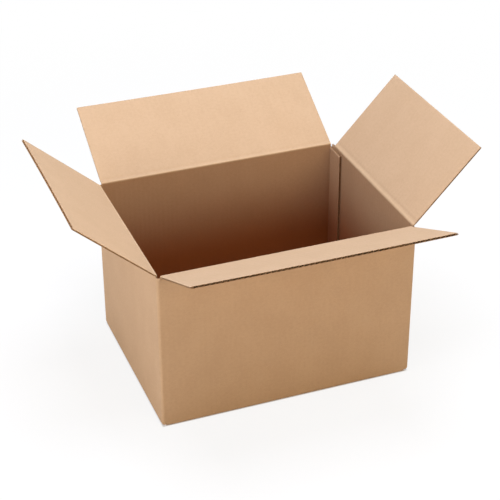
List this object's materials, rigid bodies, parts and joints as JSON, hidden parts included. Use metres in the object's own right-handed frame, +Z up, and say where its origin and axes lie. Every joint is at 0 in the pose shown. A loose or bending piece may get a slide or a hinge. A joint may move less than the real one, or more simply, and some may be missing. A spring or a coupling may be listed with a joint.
{
  "type": "open cardboard box",
  "caption": "Open slotted carton of single-wall corrugated board, with a closed glued bottom and hinged top flaps that stand open.",
  "frame": {"origin": "middle of the base, on the underside of the outer bottom flaps", "axes": "+X along the length towards the glued corner's short wall, +Y to the back long wall, +Z up out of the opening"},
  "size_m": [0.6254, 0.5708, 0.3724],
  "materials": {
    "kraft_board": "plain brown kraft liner, matt"
  },
  "bodies": {
    "box": {"box_body": "kraft_board"},
    "front_flap": {"front_flap": "kraft_board"},
    "back_flap": {"back_flap": "kraft_board"},
    "left_flap": {"left_flap": "kraft_board"},
    "right_flap": {"right_flap": "kraft_board"}
  },
  "joints": [
    {"name": "front_flap_fold", "type": "hinge", "parent": "box", "child": "front_flap", "pos_m": [0, -0.1506, 0.2609], "axis": [1, 0, 0], "range_deg": [-155.7, 69.3]},
    {"name": "back_flap_fold", "type": "hinge", "parent": "box", "child": "back_flap", "pos_m": [0, 0.1506, 0.2609], "axis": [-1, 0, 0], "range_deg": [-149.8, 75.2]},
    {"name": "left_flap_fold", "type": "hinge", "parent": "box", "child": "left_flap", "pos_m": [-0.2034, 0, 0.2594], "axis": [0, -1, 0], "range_deg": [-138.9, 86.1]},
    {"name": "right_flap_fold", "type": "hinge", "parent": "box", "child": "right_flap", "pos_m": [0.2034, 0, 0.2594], "axis": [0, 1, 0], "range_deg": [-133.1, 91.9]}
  ]
}
